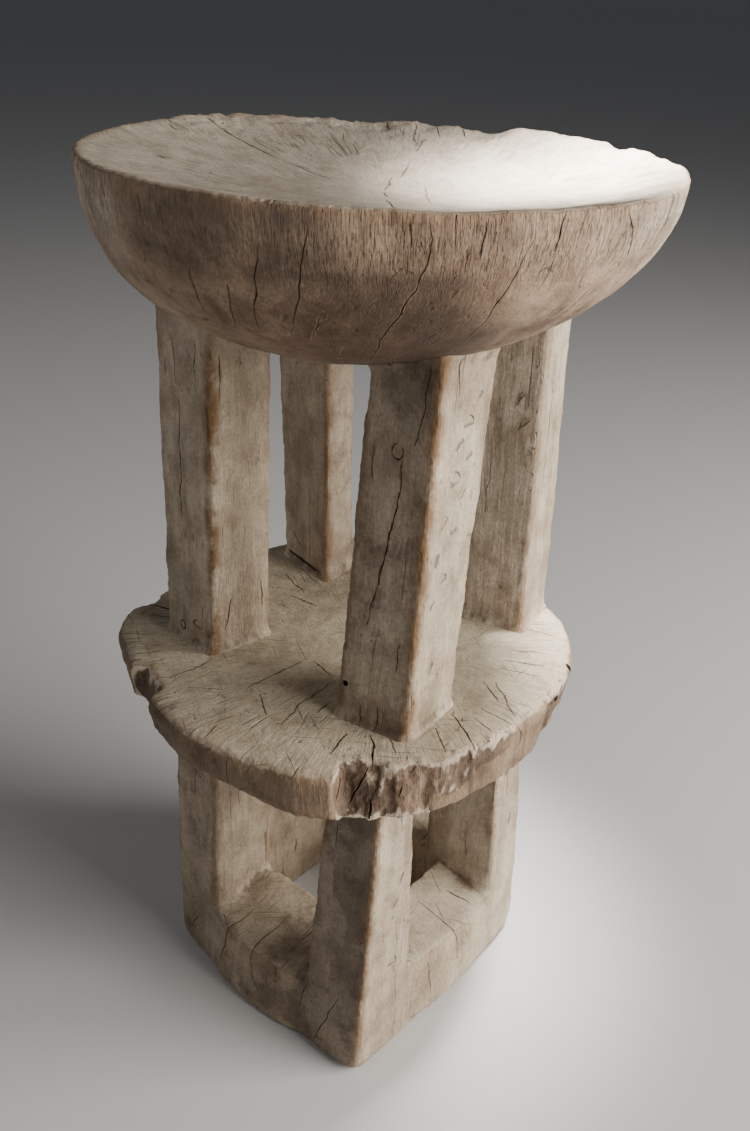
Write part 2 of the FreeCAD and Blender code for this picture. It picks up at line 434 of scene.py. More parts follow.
def weathered_wood(name, pale, grey, brown, honey, top_pale, top_grey, scratch, reach, rub):
    # Dry old wood: long grain on the sides, end grain where the surface faces up or straight down.
    # Colours: the long grain and its stains, rubbed edges, the end grain and the scratches on it, with
    # painted shade and painted light where the mesh marks them.
    finish = bpy.data.materials.new(name)
    finish.use_nodes = True
    tree = finish.node_tree
    surface = tree.nodes["Principled BSDF"]
    spot = put(tree, "TexCoord")
    place = spot.outputs["Object"]
    wear, fray, grime_and_painted_shade, bleach_and_painted_light, amber = (
        put(tree, "Attribute", attribute_name=kept).outputs["Fac"]
        for kept in ("wear", "fray", "grime_and_painted_shade", "bleach_and_painted_light", "amber")
    )
    facing = put(tree, "SeparateXYZ", None, {0: spot.outputs["Normal"]}).outputs["Z"]
    steep = times(tree, ramp(tree, facing, -0.7, -0.3), 0.75, 0.25)
    end = reckon(tree, "MAXIMUM", ramp(tree, facing, 0.6, 0.82), ramp(tree, facing, -0.85, -0.97))
    run = use_group(tree, grain, Place=place)
    cut = use_group(tree, ends, Place=place)
    dirt = use_group(tree, stains, Place=place, Reach=reach)
    rubbed = use_group(tree, edges, Wear=wear, Place=place)

    side = tint(tree, ramp(tree, run["Band"], 0.32, 0.66), colour(*pale), colour(*grey))
    # Paler where the mesh is marked: partly paler wood, partly painted light
    side = tint(tree, bleach_and_painted_light, side, colour(226, 215, 198))
    streak = times(tree, ramp(tree, run["Streak"], 0.68, 0.34), steep)
    side = tint(tree, streak, side, (0.88, 0.86, 0.835, 1), "MULTIPLY")
    fibre = times(tree, ramp(tree, run["Fibre"], 0.7, 0.3), steep)
    side = tint(tree, fibre, side, (0.87, 0.85, 0.83, 1), "MULTIPLY")
    # Nicks in the frayed band under the rim: sunk in the bump, and darkened with the painted shade of their
    # relief
    nicks_and_shade = times(tree, ramp(tree, run["Nick"], 0.53, 0.66), steep)
    nicks_and_shade = times(tree, nicks_and_shade, times(tree, fray, 0.92, 0.08))
    side = tint(tree, nicks_and_shade, side, (0.66, 0.59, 0.53, 1), "MULTIPLY")
    top = tint(tree, ramp(tree, cut["Ray"], 0.3, 0.75), colour(*top_pale), colour(*top_grey))
    top = tint(tree, times(tree, cut["Cut"], 0.55), top, colour(*scratch))
    hue = tint(tree, end, side, top)
    less_on_ends = times(tree, end, -0.4, 1)
    mottle = times(tree, ramp(tree, dirt["Mottle"], 0.4, 0.7), less_on_ends)
    hue = tint(tree, mottle, hue, (0.66, 0.61, 0.57, 1), "MULTIPLY")
    blotch = times(tree, dirt["Blotch"], times(tree, end, -0.45, 0.8))
    hue = tint(tree, blotch, hue, colour(*brown))
    # Darker where the mesh is marked: dirt and smudges, and painted shade on faces turned from the light
    smear = times(tree, fray, 0.3, times(tree, grime_and_painted_shade, 0.6, 0.25))
    smear = times(tree, dirt["Smudge"], smear, times(tree, grime_and_painted_shade, 0.35))
    hue = tint(tree, smear, hue, (0.52, 0.47, 0.45, 1), "MULTIPLY")
    hue = tint(tree, ramp(tree, grime_and_painted_shade, 1.0, 2.0), hue, (0.54, 0.5, 0.48, 1), "MULTIPLY")
    hue = tint(tree, ramp(tree, dirt["Grit"], 0.66, 0.34), hue, (0.8, 0.78, 0.76, 1), "MULTIPLY")
    amber = times(tree, amber, ramp(tree, dirt["Mottle"], 0.34, 0.6))
    amber = reckon(tree, "MAXIMUM", amber, times(tree, rubbed["Proud"], rub))
    hue = tint(tree, amber, hue, colour(*honey))
    line = put(tree, "Mix", None, {0: end, 2: run["Hairline"], 3: cut["Check"]}).outputs[0]
    dark = reckon(tree, "MAXIMUM", line, times(tree, dirt["Speck"], 0.7))
    hue = tint(tree, times(tree, dark, 0.55), hue, colour(66, 50, 38))
    hue = tint(tree, times(tree, rubbed["Hollow"], 0.7), hue, colour(84, 65, 49))
    tree.links.new(hue, surface.inputs["Base Color"])
    dull = put(tree, "Mix", None, {0: end, 2: run["Streak"], 3: cut["Ray"]}).outputs[0]
    tree.links.new(times(tree, dull, 0.3, 0.5), surface.inputs["Roughness"])
    height = times(tree, run["Fibre"], 0.6, times(tree, run["Streak"], 0.7))
    height = times(tree, nicks_and_shade, -1.3, times(tree, height, steep))
    flat = times(tree, cut["Cut"], -0.6, times(tree, cut["Ray"], 0.6))
    height = put(tree, "Mix", None, {0: end, 2: height, 3: flat}).outputs[0]
    height = times(tree, dirt["Grit"], 0.3, height)
    height = times(tree, dirt["Mottle"], 0.9, height)
    height = reckon(tree, "SUBTRACT", height, dark)
    bump = put(tree, "Bump", {"Strength": 0.9, "Distance": 0.0007}, {"Height": height})
    tree.links.new(bump.outputs[0], surface.inputs["Normal"])
    surface.inputs["Specular IOR Level"].default_value = 0.4
    return finish


def points_of(mesh, what):
    # The place or the normal of every point, one row for each
    values = np.empty(len(mesh.vertices) * 3, np.float32)
    mesh.vertices.foreach_get(what, values)
    return values.reshape(-1, 3)


def keep(piece, name, values):
    # One value for each point, kept on the mesh for the finish
    kept = piece.data.attributes.new(name, "FLOAT", "POINT")
    kept.data.foreach_set("value", values)


PROUD = 0.62


def note_wear(piece):
    # How far each point stands proud of its smoothed surroundings, kept on the mesh for the finish
    work(piece, "TRIANGULATE")
    places = points_of(piece.data, "co")
    normals = points_of(piece.data, "normal")
    probe = piece.modifiers.new("probe", "SMOOTH")
    probe.factor = 0.5
    probe.iterations = 80
    evaluated = piece.evaluated_get(bpy.context.evaluated_depsgraph_get())
    sunk = points_of(evaluated.data, "co")
    piece.modifiers.remove(probe)
    stand = ((places - sunk) * normals).sum(axis=1) / MM
    worn = np.clip(0.5 + stand / 3.2, 0, 1).astype(np.float32)
    keep(piece, "wear", worn)
    arris = piece.vertex_groups.new(name="arris")
    for i in np.flatnonzero(worn > PROUD):
        arris.add([int(i)], min(1.0, float(worn[i] - PROUD) / 0.25), "REPLACE")
    relieve(piece, edge_nicks, relief=1.1, middle=0.62, vertex_group="arris")
    piece.vertex_groups.clear()


def mark(piece, name, share):
    # A value for the finish that comes from each point's place in mm and its normal
    keep(piece, name, [share(point.co / MM, point.normal) for point in piece.data.vertices])


def stain_arris(piece, foot, head, width, share):
    # Brown along one long edge of a leg, where hands and feet rubbed it most
    def stain(place, normal):
        nearest, _ = geometry.intersect_point_line(place, Vector(foot), Vector(head))
        return share * fade((place - nearest).length, width, 0.4 * width)

    mark(piece, "amber", stain)


def stand_for(piece, node):
    # Shade the piece smooth but for its sharp edges, and put it in the place of its CAD node
    pick(piece)
    bpy.ops.object.shade_smooth_by_angle(angle=math.radians(50))
    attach(piece, "root")
    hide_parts(node)


# Inside of the splits and beetle holes: dark brown, painted shade for the depth of the cut
split_painted_shade = bpy.data.materials.new("split_painted_shade")
split_painted_shade.use_nodes = True
inside = split_painted_shade.node_tree
split_shade_hue = tint(
    inside,
    stretched(inside, put(inside, "TexCoord").outputs["Object"], (600, 600, 30), 3.0),
    colour(40, 27, 19), colour(82, 60, 43),
)
inside.links.new(split_shade_hue, inside.nodes["Principled BSDF"].inputs["Base Color"])
inside.nodes["Principled BSDF"].inputs["Roughness"].default_value = 0.9


def cut_away(piece, tools, lining):
    # Cut with several tools at once, none touching another; the cut faces get the lining's finish
    deselect()
    for tool in tools:
        keep(tool, "wear", np.full(len(tool.data.vertices), 0.5, np.float32))
        tool.data.materials.clear()
        tool.data.materials.append(lining)
        tool.select_set(True)
    bpy.context.view_layer.objects.active = tools[0]
    bpy.ops.object.join()
    work(
        piece, "BOOLEAN", object=tools[0], operation="DIFFERENCE", solver="MANIFOLD",
        material_mode="TRANSFER",
    )
    bpy.data.objects.remove(tools[0])


def open_splits(piece, splits):
    blades = [split_blade(piece, *split) for split in splits]
    # The inside of each split gets the dark painted shade
    cut_away(piece, blades, split_painted_shade)


def rub_off(piece, share, rounds):
    # Round off what the floor, hands and feet have worn, where share says how much
    weigh(piece, "rubbed", share)
    work(piece, "SMOOTH", factor=0.5, iterations=rounds, vertex_group="rubbed")
    piece.vertex_groups.clear()


def fade(value, none, full):
    return min(1.0, max(0.0, (value - none) / (full - none)))


RAIL_SPLITS = {
    "front": [
        ([(-27, -70, 45), (-31, -86, 28), (-38, -86, 6)], (0, 0.8, -0.6), 1.0, 8),
        ([(-7, -55, 46), (-8, -83, 43), (-6, -88, 24), (3, -88, 8)], (0, 0.8, -0.6), 0.9, 8),
        ([(12, -42, 47), (10, -66, 45)], (0, 0.2, -1), 0.7, 5),
    ],
    "right": [
        ([(46, 21, 46), (61, 24, 44)], (-0.3, 0, -1), 1.4, 7),
        ([(36, -20, 47), (58, -26, 45)], (-0.3, 0, -1), 0.7, 6),
        ([(40, 2, 46), (66, 2, 42), (71, 4, 20)], (-0.8, 0, -0.6), 0.8, 7),
        ([(70, -22, 36), (71, -20, 12)], (-1, 0, 0), 0.8, 6),
    ],
    "back": [
        ([(-20, 48, 46), (-22, 70, 40), (-24, 74, 14)], (0, -0.8, -0.6), 0.9, 7),
        ([(8, 44, 47), (6, 66, 44)], (0, -0.2, -1), 0.8, 6),
    ],
    "left": [
        ([(-64, -12, 82), (-76, -14, 74), (-80, -14, 40)], (0.8, 0, -0.6), 0.9, 7),
        ([(-62, 18, 83), (-72, 20, 80)], (0.2, 0, -1), 0.8, 6),
        ([(-58, -2, 37), (-58, -3, 26)], (-1, 0, 0), 1.4, 5),
    ],
}

rough_blocks = []
for side, (foot, head, out) in RAILS.items():
    rail = rough_block("rough_rail_" + side, foot, head)
    bpy.ops.mesh.select_all(action="SELECT")
    bpy.ops.mesh.subdivide(number_cuts=RAIL_CUTS)
    outward = Vector((out[0], out[1], 0))
    along = Vector((out[1], out[0], 0))
    middle = sum((Vector(corner) for corner in foot), Vector()) / 4 * MM
    reach = max(abs((Vector(corner) * MM - middle).dot(along)) for corner in foot)
    face = max((Vector(corner) * MM - middle).dot(outward) for corner in head)
    for column in range(1, RAIL_CUTS + 1):
        share = 2 * column / (RAIL_CUTS + 1) - 1
        select_points(
            rail,
            lambda place: abs((place - middle).dot(along) / reach - share) < 0.05
            and (place - middle).dot(outward) > face - 0.0005,
        )
        bpy.ops.transform.translate(value=outward * RAIL_BULGE[side] * MM * (1 - share * share))
    bpy.ops.object.mode_set(mode="OBJECT")
    rough_blocks.append(rail)

# Lower legs
# Four square posts from the ground to the disc, thicker at the foot, hewn in one with the rails.
# Their outer corners are worn round near the ground and their edges are rubbed brown.
LOWER_LEGS = {
    "front_left": (
        [(-80, -81), (-43, -85), (-43, -39), (-79, -39)],
        [(-71, -76), (-40, -76), (-40, -34), (-71, -34)],
    ),
    "front_right": (
        [(27, -86), (70, -85.5), (69, -37), (27, -37)],
        [(37.5, -68), (70, -68), (70, -45), (37.5, -45)],
    ),
    "back_right": (
        [(17, 35), (68.5, 35), (65.5, 67), (17, 71)],
        [(17, 37), (61, 37), (59.5, 61.5), (17, 62)],
    ),
    "back_left": (
        [(-79, 34), (-42, 34), (-42, 72), (-79, 69)],
        [(-75, 31), (-41, 31), (-41, 63), (-75, 63)],
    ),
}
DISC_MIDDLE = Vector((-9.0, -8.5, 0))
DISC_UNDER = 190.5
LET_IN = 5.0
LEG_EDGE = 2.0
SEAM = 6.0
FOOT_CORNER = 17.0
OVER_RAILS = 120.0
LOWER_SPLITS = {
    "front_left": [
        ([(-60, -82, 27), (-68, -82, 14)], (0, 1, 0), 1.0, 6),
        ([(-56, -79, 172), (-58, -81, 118)], (0, 1, 0), 0.8, 6),
        ([(-80, -58, 150), (-80, -60, 84)], (1, 0, 0), 1.0, 7),
    ],
    "front_right": [
        ([(32, -81, 45), (27, -83, 22)], (0, 1, 0), 1.2, 8),
        ([(54, -79, 46), (45, -82, 22), (38, -84, 3)], (0, 1, 0), 1.1, 8),
        ([(43, -73, 182), (45, -76, 140)], (0, 1, 0), 0.8, 6),
        ([(70, -56, 190), (70, -54, 158)], (-1, 0, 0), 0.9, 6),
    ],
    "back_right": [
        ([(64, 50, 176), (66, 48, 110)], (-1, 0, 0), 0.9, 6),
        ([(40, 67, 150), (38, 70, 70)], (0, -1, 0), 1.1, 8),
    ],
    "back_left": [
        ([(-58, 65, 160), (-60, 69, 84)], (0, -1, 0), 1.0, 7),
        ([(-77, 46, 120), (-78, 48, 60)], (1, 0, 0), 0.9, 6),
    ],
}
LOWER_GOUGES = {
    "front_left": [((-66, -82, 152), (0, -1, 0), 70, 0.12)],
    "front_right": [
        ((69, -55, 108), (1, 0, 0), 200), ((69, -53, 122), (1, 0, 0), 250), ((69, -56, 66), (1, 0, 0), 160),
        ((70, -50, 92), (1, 0, 0), 300),
    ],
    "back_right": [((66, 52, 92), (1, 0, 0), 240), ((64, 48, 128), (1, 0, 0), 190)],
    "back_left": [((-58, 68, 120), (0, 1, 0), 200), ((-77, 50, 140), (-1, 0, 0), 260)],
}
BLADE_LENGTH = 10.0
BLADE_TILT = 13.0


def stand_on(place, outward, askew=Matrix()):
    # Stand the tool just made at a place in mm, its own axis pointing out of the wood
    tool = bpy.context.active_object
    facing = outward.to_track_quat("Z", "Y").to_matrix().to_4x4()
    tool.matrix_world = Matrix.Translation(place * MM) @ facing @ askew
    bpy.ops.object.transform_apply()
    return tool


def gouge(piece, place, outward, turn, bite=0.3, radius=3.6):
    # The curved blade's end, pressed in askew, which leaves a crescent
    outward = Vector(outward)
    place = on_wood(piece, Vector(place), -outward)
    deselect()
    bpy.ops.mesh.primitive_cylinder_add(vertices=20, radius=radius * MM, depth=BLADE_LENGTH * MM)
    askew = Matrix.Rotation(math.radians(turn), 4, "Z") @ Matrix.Rotation(math.radians(BLADE_TILT), 4, "X")
    return stand_on(place + outward * (BLADE_LENGTH / 2 - bite), outward, askew)


def flare(piece, gap, reach, spread):
    # The round inner corner left by the blade: a member grows wider where it runs into its neighbour
    places = points_of(piece.data, "co")
    outward = points_of(piece.data, "normal") * (1, 1, 0)
    near = np.array([gap(place / MM) for place in places]).clip(0, reach)
    places = places + outward * (spread * MM * (1 - near / reach) ** 2)[:, None]
    piece.data.vertices.foreach_set("co", places.astype(np.float32).ravel())
    piece.data.update()


def darken_joint(piece, share):
    # Lower the wear, which darkens the wood, in the corner with the next member
    wear = piece.data.attributes["wear"].data
    for point in piece.data.vertices:
        wear[point.index].value -= share(point.co / MM)


leg_wood = weathered_wood(
    "leg_wood", pale=(205, 191, 169), grey=(177, 162, 141), brown=(126, 108, 89), honey=(114, 84, 52),
    top_pale=(196, 183, 161), top_grey=(176, 162, 141), scratch=(122, 104, 84), reach=0.02, rub=0.5,
)
foot_wood = weathered_wood(
    "foot_wood", pale=(205, 190, 166), grey=(177, 161, 138), brown=(126, 107, 87), honey=(150, 122, 92),
    top_pale=(196, 183, 161), top_grey=(176, 162, 141), scratch=(122, 104, 84), reach=0.02, rub=0.2,
)
corners = []
saw_cuts = {}
for outer, (corner, (foot, head)) in enumerate(LOWER_LEGS.items()):
    low = [(x, y, 0) for x, y in foot]
    high = [(x, y, DISC_UNDER + LET_IN) for x, y in head]
    leg = rough_block("rough_leg_" + corner, low, high)
    corners.append(Vector(low[outer]))
    select_points(leg, lambda place: (place / MM - corners[-1]).length < 0.1)
    bpy.ops.mesh.bevel(offset=FOOT_CORNER * MM, segments=4, affect="VERTICES")
    select_edges(leg, lambda a, b: abs(a.z - b.z) > 0.1)
    bpy.ops.mesh.bevel(offset=LEG_EDGE * MM, segments=2, affect="EDGES")
    bpy.ops.object.mode_set(mode="OBJECT")
    rough_blocks.append(leg)
    start = Vector(low[(outer + 2) % 4])
    lean = (Vector(high[(outer + 2) % 4]) - start) / (DISC_UNDER + LET_IN)
    to_x = 1 if "left" in corner else -1
    to_y = 1 if "front" in corner else -1
    saw_cuts[corner] = [
        (start + Vector((to_x * SEAM, 0, 0)), Vector((to_x, 0, -to_x * lean.x))),
        (start + Vector((0, to_y * SEAM, 0)), Vector((0, to_y, -to_y * lean.y))),
    ]

deselect()
for block in rough_blocks:
    block.select_set(True)
tier = rough_blocks[0]
bpy.context.view_layer.objects.active = tier
bpy.ops.object.join()
weather(tier, voxel=1.05, rounding=6, hollows=2.8, fibres=0.4)


def rail_shoulder(place):
    # Full along the outer top edges of the rails, which are worn round
    over_x = fade(place.x, -54, -46) * fade(place.x, 36, 26)
    over_y = fade(place.y, -50, -41) * fade(place.y, 46, 37)
    ends = max(fade(-place.y, 58, 68), fade(place.y, 46, 56)) * over_x
    right = fade(place.x, 44, 54) * over_y
    left = fade(-place.x, 60, 66) * over_y * fade(place.z, 58, 68) * fade(place.z, 98, 90)
    return max(left, fade(place.z, 22, 32) * fade(place.z, 62, 54) * max(ends, right))


rub_off(tier, rail_shoulder, rounds=150)
rub_off(tier, lambda place: max(fade((place - corner).length, 48, 15) for corner in corners), rounds=130)
rub_off(tier, lambda place: fade(place.z, 8, 3), rounds=20)
for point in tier.data.vertices:
    point.co.z = max(point.co.z, 0.0)
flare(tier, lambda place: DISC_UNDER - place[2], reach=8, spread=2.5)
note_wear(tier)
darken_joint(tier, lambda place: 0.3 * fade(place.z, DISC_UNDER - 5, DISC_UNDER - 1))


def soot_and_front_shade(place, normal):
    # Darker on the front, partly soot and partly painted shade where the faces turn away from the light: most
    # on the front of the front right leg, less on the front rail and least on the front left leg
    dark = max(0.55 + 0.85 * fade(place.x, 4, 26), fade(place.z, 62, 50))
    face = fade(-normal.y, 0.3, 0.8) * dark
    top = 0.8 * fade(normal.z, 0.4, 0.8) * fade(place.z, 62, 52)
    return max(face, top) * fade(-place.y, 30, 45)


def painted_bounce_light(place, normal):
    # Painted light: pale on the front of the back right leg, where light thrown back from the disc falls
    return 0.6 * fade(-normal.y, 0.3, 0.8) * fade(place.y, 10, 25) * fade(place.x, 0, 10)


mark(tier, "grime_and_painted_shade", soot_and_front_shade)
mark(tier, "bleach_and_painted_light", painted_bounce_light)
foot, head = LOWER_LEGS["front_right"]
stain_arris(tier, (*foot[1], 0), (*head[1], DISC_UNDER + LET_IN), width=4.4, share=0.6)


def sawn(name, cuts, finish):
    # One member of the tier: a copy with all that lies beyond each cut taken off
    pick(tier)
    bpy.ops.object.duplicate()
    member = bpy.context.active_object
    member.name = name
    member.data.materials.append(finish)
    bpy.ops.object.mode_set(mode="EDIT")
    for place, facing in cuts:
        bpy.ops.mesh.select_all(action="SELECT")
        bpy.ops.mesh.bisect(plane_co=place * MM, plane_no=facing, use_fill=True, clear_outer=True)
    bpy.ops.object.mode_set(mode="OBJECT")
    work(member, "TRIANGULATE")
    return member


def between_legs(first, second, cut, out):
    # The cuts that leave one rail: the far sides of two legs, the other half of the foot, all above
    kept = [(place, -facing) for place, facing in (saw_cuts[first][cut], saw_cuts[second][cut])]
    return kept + [(DISC_MIDDLE, -Vector((*out, 0))), (Vector((0, 0, OVER_RAILS)), Vector((0, 0, 1)))]


RAIL_ENDS = {
    "front": ("front_left", "front_right", 0),
    "right": ("front_right", "back_right", 1),
    "back": ("back_left", "back_right", 0),
    "left": ("front_left", "back_left", 1),
}
for side, ends_at in RAIL_ENDS.items():
    rail = sawn("carved_rail_" + side, between_legs(*ends_at, RAILS[side][2]), foot_wood)
    open_splits(rail, RAIL_SPLITS[side])
    stand_for(rail, "base_rail_" + side)
for corner in LOWER_LEGS:
    leg = sawn("carved_lower_leg_" + corner, saw_cuts[corner], leg_wood)
    open_splits(leg, LOWER_SPLITS[corner])
    cut_away(leg, [gouge(leg, *dent) for dent in LOWER_GOUGES[corner]], leg_wood)
    stand_for(leg, "lower_leg_" + corner)
bpy.data.objects.remove(tier)

# Middle disc
# A round plate left across the log between the two tiers, end grain on its top and underside.
# Its edge is worn and brown, and chunks have broken out of it along the grain at the front and the left.
DISC_RADIUS = 117.0
DISC_LOBE = 2.5
DISC_TURN = 42.0
DISC_TOP = 212.5
EDGE_ROUND = 6.5
UNDER_ROUND = 3.0
EAR = 6.0
BREAKS = [
    (-45.5, 3.5, 13, 3), (-42, 6, 10, 2.5), (-36.5, 9, 6, 1.5), (-29, 13, 3.5, 0.8),
    (-10, 9, 2.0, 0.5), (-114.5, 6.5, 11, 5),
    (-156, 3, 5, 4), (21, 8, 1.5, 2.5), (96, 6, 5, 2), (170, 5, 4, 1),
]
BREAK_SPLITS = [
    ([(-49, 208), (-49.6, 197)], 1.5), ([(-42.2, 210), (-44.6, 201), (-46.7, 192)], 2.0),
    ([(-41.5, 196), (-41.9, 187)], 3.4), ([(-34.4, 203), (-35.2, 196)], 1.6),
]
BREAK_SPLIT_DEPTH = 6.0
DISC_SPLITS = [
    ([(-111, -61, 211), (-100, -57), (-88, -53)], 2.0, 8),
    ([(59, -66), (66, -71), (70, -76), (73, -81, 209)], 2.0, 14),
    ([(50, -72), (52, -80), (55, -88)], 1.6, 12),
    ([(76, -26), (88, -32), (99, -38)], 1.5, 10),
    ([(77, -40), (92, -51)], 0.9, 7),
    ([(70, 7), (86, -2)], 1.0, 6),
    ([(75, 11), (99, -7)], 1.0, 6),
    ([(-11, -79), (-9, -43)], 0.7, 5),
    ([(-5, -39), (12, -42)], 1.0, 6),
    ([(23, -89), (18, -73), (15, -47)], 0.9, 6),
    ([(-3, -78), (12, -88)], 0.7, 5),
    ([(-46, -99), (-43, -86), (-44, -73)], 0.9, 6),
    ([(3, -119), (0, -108)], 0.9, 7),
    ([(-82, 16), (-59, 8)], 0.9, 6),
    ([(-62, 1), (-43, 2)], 0.9, 6),
    ([(57, 63), (72, 68)], 0.9, 6),
    ([(29, -70), (26, -59)], 1.0, 6),
    ([(-20, 50), (-26, 92)], 1.0, 7),
    ([(-70, 66), (-84, 84)], 0.9, 6),
    ([(66, 30), (84, 40)], 0.8, 5),
    ([(69, 23), (87, 30)], 0.7, 5),
    ([(83, -12), (101, -13)], 0.7, 5),
    ([(86, -21), (98, -24)], 0.6, 4),
    ([(66, -61), (77, -68)], 0.8, 5),
    ([(63, 41), (79, 50)], 0.7, 5),
]
EDGE_SPLITS = [
    ([(20, -121, 210), (21, -121, 196)], (0, 1, 0), 1.0, 8),
    ([(-34, -122, 207), (-33, -122, 194)], (0, 1, 0), 0.8, 6),
    ([(106, 24, 210), (107, 26, 195)], (-1, -0.2, 0), 1.0, 7),
    ([(40, 98, 210), (41, 98, 196)], (-0.4, -1, 0), 0.9, 7),
    ([(-60, 98, 210), (-61, 99, 195)], (0.4, -1, 0), 1.0, 8),
]
DISC_HOLES = [((92, 51, 212), (0, 0, 1)), ((101, 30, 205), (1, 0.3, 0)), ((104, 36, 201), (1, 0.4, 0))]

disc_wood = weathered_wood(
    "disc_wood", pale=(166, 145, 121), grey=(140, 119, 97), brown=(104, 83, 65), honey=(140, 108, 74),
    top_pale=(188, 176, 154), top_grey=(169, 156, 134), scratch=(118, 100, 80), reach=0.0, rub=0.25,
)
torn_wood = weathered_wood(
    "torn_wood", pale=(143, 121, 100), grey=(107, 87, 70), brown=(72, 53, 42), honey=(206, 190, 168),
    top_pale=(164, 142, 119), top_grey=(126, 104, 85), scratch=(84, 65, 50), reach=0.1, rub=0.7,
)


def heading(turn):
    return Vector((math.cos(math.radians(turn)), math.sin(math.radians(turn)), 0))


def disc_edge(turn):
    # How far the edge of the disc stands from its middle, before anything broke off
    reach = DISC_RADIUS + DISC_LOBE * math.cos(math.radians(4 * (turn - DISC_TURN)))
    reach += EAR * fade(turn % 360, 205, 208) * fade(turn % 360, 228, 212)
    reach += 2.2 * fade(turn, 40, 50) * fade(turn, 80, 68)
    reach -= 1.8 * fade(turn, -140, -128) * fade(turn, -92, -104)
    return reach + 2.0 * noise.noise(heading(turn) * DISC_RADIUS / 26)


def break_depth(turn, height):
    # How far a break goes in from the edge, with the ridges of its torn fibres
    share = fade(height, DISC_UNDER, DISC_TOP)
    deep = 0.0
    for middle, half, top, foot in BREAKS:
        off = abs((turn - middle + 180) % 360 - 180)
        deep = max(deep, fade(off, half + 1.5, half - 1.0) * (foot + (top - foot) * share))
    along = math.radians(turn) * DISC_RADIUS
    ridges = 0.4 * noise.noise((along / 9, height / 14, 0)) + 0.22 * noise.noise((along / 2.6, height / 8, 7))
    ridges *= 0.35 + 0.65 * fade(turn, -95, -75)
    return deep * max(0.1, 1.0 + ridges)


def undercut(turn):
    # How much further in the lower edge lies than the upper one, at the left and at the right
    left = fade(turn, -150, -130) * fade(turn, -85, -105)
    return 2.4 * left + 3.6 * fade(turn, -14, 12) * fade(turn, 76, 52)


def hang(turn):
    # How far the lower edge hangs down at the front right, and is drawn up at the front left
    low = 5.5 * fade(turn, -75, -35) * fade(turn, 60, 20)
    return low - 3.0 * fade(turn, -62, -78) * fade(turn, -150, -120)


def polar(place):
    away = (place - DISC_MIDDLE).to_2d()
    return math.degrees(math.atan2(away.y, away.x)), away.length


deselect()
bpy.ops.mesh.primitive_cylinder_add(
    vertices=240, radius=DISC_RADIUS * MM, depth=(DISC_TOP - DISC_UNDER) * MM,
    location=(DISC_MIDDLE + Vector((0, 0, (DISC_TOP + DISC_UNDER) / 2))) * MM,
)
disc = bpy.context.active_object
disc.name = "carved_disc"
bpy.ops.object.transform_apply()
for point in disc.data.vertices:
    turn, away = polar(point.co / MM)
    stretch = disc_edge(turn) / away
    point.co.xy = (DISC_MIDDLE * MM + (point.co - DISC_MIDDLE * MM) * stretch).xy
bpy.ops.object.mode_set(mode="EDIT")
for level, rounding in ((DISC_TOP, EDGE_ROUND), (DISC_UNDER, UNDER_ROUND)):
    select_edges(disc, lambda a, b: max(abs(a.z - level * MM), abs(b.z - level * MM)) < 1e-6)
    bpy.ops.mesh.bevel(offset=rounding * MM, segments=4, affect="EDGES")
bpy.ops.object.mode_set(mode="OBJECT")
work(disc, "REMESH", mode="VOXEL", voxel_size=1.3 * MM)
for point in disc.data.vertices:
    turn, away = polar(point.co / MM)
    reach = disc_edge(turn) - break_depth(turn, point.co.z / MM)
    reach -= undercut(turn) * fade(point.co.z / MM, 207, 194)
    if away > reach:
        point.co.xy = (DISC_MIDDLE * MM + (point.co - DISC_MIDDLE * MM) * reach / away).xy
    point.co.z -= hang(turn) * MM * fade(away, 70, 104) * fade(point.co.z / MM, 207, 196)
weather(disc, voxel=1.15, rounding=3, hollows=2.4, fibres=0.4)


def torn_open(place):
    # Full on the face of a break
    turn, away = polar(place)
    deep = break_depth(turn, place.z)
    return fade(deep, 0.8, 1.6) * fade(away, disc_edge(turn) - deep - 4, disc_edge(turn) - deep - 2)


def frayed_break(place):
    # The face of a break, much rougher at the front than at the left
    return torn_open(place) * (0.3 + 0.7 * fade(polar(place)[0], -90, -70))


def disc_rim(place):
    return fade(polar(place)[1], 106, 114)


torn_fibres = clouds("torn_fibres", 4.5, depth=3)
run_grain(2.6, lean=-22)
relieve(disc, torn_fibres, relief=0.6, fibrous=True, vertex_group=weigh(disc, "nibbled", disc_rim))
relieve(disc, torn_fibres, relief=2.8, fibrous=True, vertex_group=weigh(disc, "torn", frayed_break))
run_grain(LOG_FIBRE)
disc.vertex_groups.clear()
disc.data.materials.append(disc_wood)
disc.data.materials.append(torn_wood)
note_wear(disc)


def edge_shade_and_tone(place, normal):
    # Dark round the edge at the front, less at the right: painted shade at the front, where the edge turns
    # away from the light, and darker wood at the right
    front = 1.2 * fade(-normal.y, 0.2, 0.7)
    right = 0.7 * fade(normal.x, 0.2, 0.7)
    return max(front, right) * fade(polar(place)[1], 92, 104)


mark(disc, "grime_and_painted_shade", edge_shade_and_tone)
for face in disc.data.polygons:
    if abs(face.normal.z) < 0.8 and torn_open(face.center / MM) > 0.5:
        face.material_index = 1


def on_top(line):
    # A line in the plan, raised to the top of the disc where it gives no height of its own
    return [(*stop, DISC_TOP + 0.5)[:3] for stop in line]


open_splits(disc, [(on_top(line), (0, 0, -1), width, depth) for line, width, depth in DISC_SPLITS])
open_splits(disc, EDGE_SPLITS)


def torn_line(line):
    # A line on the face of a break, from its turn round the disc and its height, and the way into the wood
    places = []
    for turn, height in line:
        reach = disc_edge(turn) - break_depth(turn, height)
        places.append(DISC_MIDDLE + heading(turn) * reach + Vector((0, 0, height)))
    return places, -heading(turn)


open_splits(disc, [(*torn_line(line), width, BREAK_SPLIT_DEPTH) for line, width in BREAK_SPLITS])


